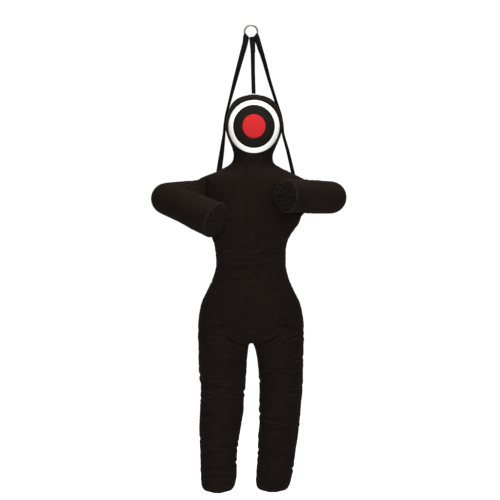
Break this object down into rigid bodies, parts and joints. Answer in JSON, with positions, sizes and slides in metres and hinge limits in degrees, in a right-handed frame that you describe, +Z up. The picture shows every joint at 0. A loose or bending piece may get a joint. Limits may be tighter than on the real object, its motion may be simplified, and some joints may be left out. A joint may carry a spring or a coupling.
{
  "type": "grappling dummy",
  "caption": "Hanging stuffed canvas grappling dummy with a printed face target, bent arms and long legs, hung from a steel ring by webbing straps.",
  "frame": {"origin": "where a hook bears on the inside top of the hanging ring", "axes": "+Z up along the hanging line, -Y the way the dummy faces, +X towards the dummy's own left hand"},
  "size_m": [0.86, 0.4553, 2.099],
  "materials": {
    "canvas": "plain-woven heavy cotton canvas, near-black brown, dull",
    "canvas_dark": "the same canvas, a darker round panel",
    "webbing": "black polypropylene webbing, flat woven",
    "stuffing": "packed textile offcuts",
    "ring_steel": "welded steel ring, nickel plated",
    "print_white": "white ink printed on the face",
    "print_black": "black ink printed on the face",
    "print_red": "red ink printed on the face",
    "zip_tape": "black woven zip tape",
    "zip_metal": "dulled antique brass"
  },
  "bodies": {
    "torso": {"hanging_ring": "ring_steel", "strap_crown": "webbing", "strap_shoulder_left": "webbing", "strap_shoulder_right": "webbing", "shoulder_patch_left": "webbing", "shoulder_patch_right": "webbing", "torso_cover_front": "canvas", "torso_cover_back_left": "canvas", "torso_cover_back_right": "canvas", "torso_fill": "stuffing", "zip_tape_left": "zip_tape", "zip_tape_right": "zip_tape", "zip_teeth": "zip_metal"},
    "head": {"head_cover_front": "canvas", "head_cover_back": "canvas", "head_fill": "stuffing", "target_red_disc": "print_red", "target_black_ring": "print_black", "target_white_ring": "print_white", "crown_patch": "webbing"},
    "zip_slider_body": {"zip_slider": "zip_metal"},
    "zip_pull_body": {"zip_pull": "zip_metal"},
    "upper_arm_left": {"upper_arm_cover_left": "canvas", "upper_arm_fill_left": "stuffing"},
    "forearm_left": {"forearm_cover_left": "canvas", "forearm_fill_left": "stuffing", "hand_panel_left": "canvas_dark"},
    "thigh_left": {"thigh_cover_left": "canvas", "thigh_fill_left": "stuffing"},
    "shin_left": {"shin_cover_left": "canvas", "shin_fill_left": "stuffing", "sole_panel_left": "canvas_dark"},
    "upper_arm_right": {"upper_arm_cover_right": "canvas", "upper_arm_fill_right": "stuffing"},
    "forearm_right": {"forearm_cover_right": "canvas", "forearm_fill_right": "stuffing", "hand_panel_right": "canvas_dark"},
    "thigh_right": {"thigh_cover_right": "canvas", "thigh_fill_right": "stuffing"},
    "shin_right": {"shin_cover_right": "canvas", "shin_fill_right": "stuffing", "sole_panel_right": "canvas_dark"}
  },
  "joints": [
    {"name": "head_turn", "type": "hinge", "parent": "torso", "child": "head", "pos_m": [0.012, 0.025, -0.618], "axis": [0, 0, 1], "range_deg": [-15, 15], "stiffness_Nm_per_rad": 4},
    {"name": "shoulder_left", "type": "hinge", "parent": "torso", "child": "upper_arm_left", "pos_m": [0.235, 0.033, -0.748], "axis": [0, 0, -1], "range_deg": [-15, 12], "stiffness_Nm_per_rad": 8},
    {"name": "shoulder_right", "type": "hinge", "parent": "torso", "child": "upper_arm_right", "pos_m": [-0.235, 0.033, -0.748], "axis": [0, 0, 1], "range_deg": [-15, 12], "stiffness_Nm_per_rad": 8},
    {"name": "elbow_left", "type": "hinge", "parent": "upper_arm_left", "child": "forearm_left", "pos_m": [0.35, -0.075, -0.77], "axis": [0, 0, -1], "range_deg": [-25, 2], "stiffness_Nm_per_rad": 6},
    {"name": "elbow_right", "type": "hinge", "parent": "upper_arm_right", "child": "forearm_right", "pos_m": [-0.37, -0.071, -0.776], "axis": [0, 0, 1], "range_deg": [-25, 2], "stiffness_Nm_per_rad": 6},
    {"name": "hip_left", "type": "hinge", "parent": "torso", "child": "thigh_left", "pos_m": [0.128, 0.025, -1.392], "axis": [-1, 0, 0], "range_deg": [-20, 50], "stiffness_Nm_per_rad": 8},
    {"name": "hip_right", "type": "hinge", "parent": "torso", "child": "thigh_right", "pos_m": [-0.128, 0.025, -1.392], "axis": [-1, 0, 0], "range_deg": [-20, 50], "stiffness_Nm_per_rad": 8},
    {"name": "knee_left", "type": "hinge", "parent": "thigh_left", "child": "shin_left", "pos_m": [0.129, 0.025, -1.65], "axis": [1, 0, 0], "range_deg": [0, 60], "stiffness_Nm_per_rad": 6},
    {"name": "knee_right", "type": "hinge", "parent": "thigh_right", "child": "shin_right", "pos_m": [-0.134, 0.025, -1.65], "axis": [1, 0, 0], "range_deg": [0, 60], "stiffness_Nm_per_rad": 6},
    {"name": "zip_slide", "type": "slide", "parent": "torso", "child": "zip_slider_body", "axis": [0, 0, -1], "range_m": [0, 0.28]},
    {"name": "zip_pull_hinge", "type": "hinge", "parent": "zip_slider_body", "child": "zip_pull_body", "pos_m": [0, 0.1366, -0.768], "axis": [1, 0, 0], "range_deg": [0, 150]}
  ]
}
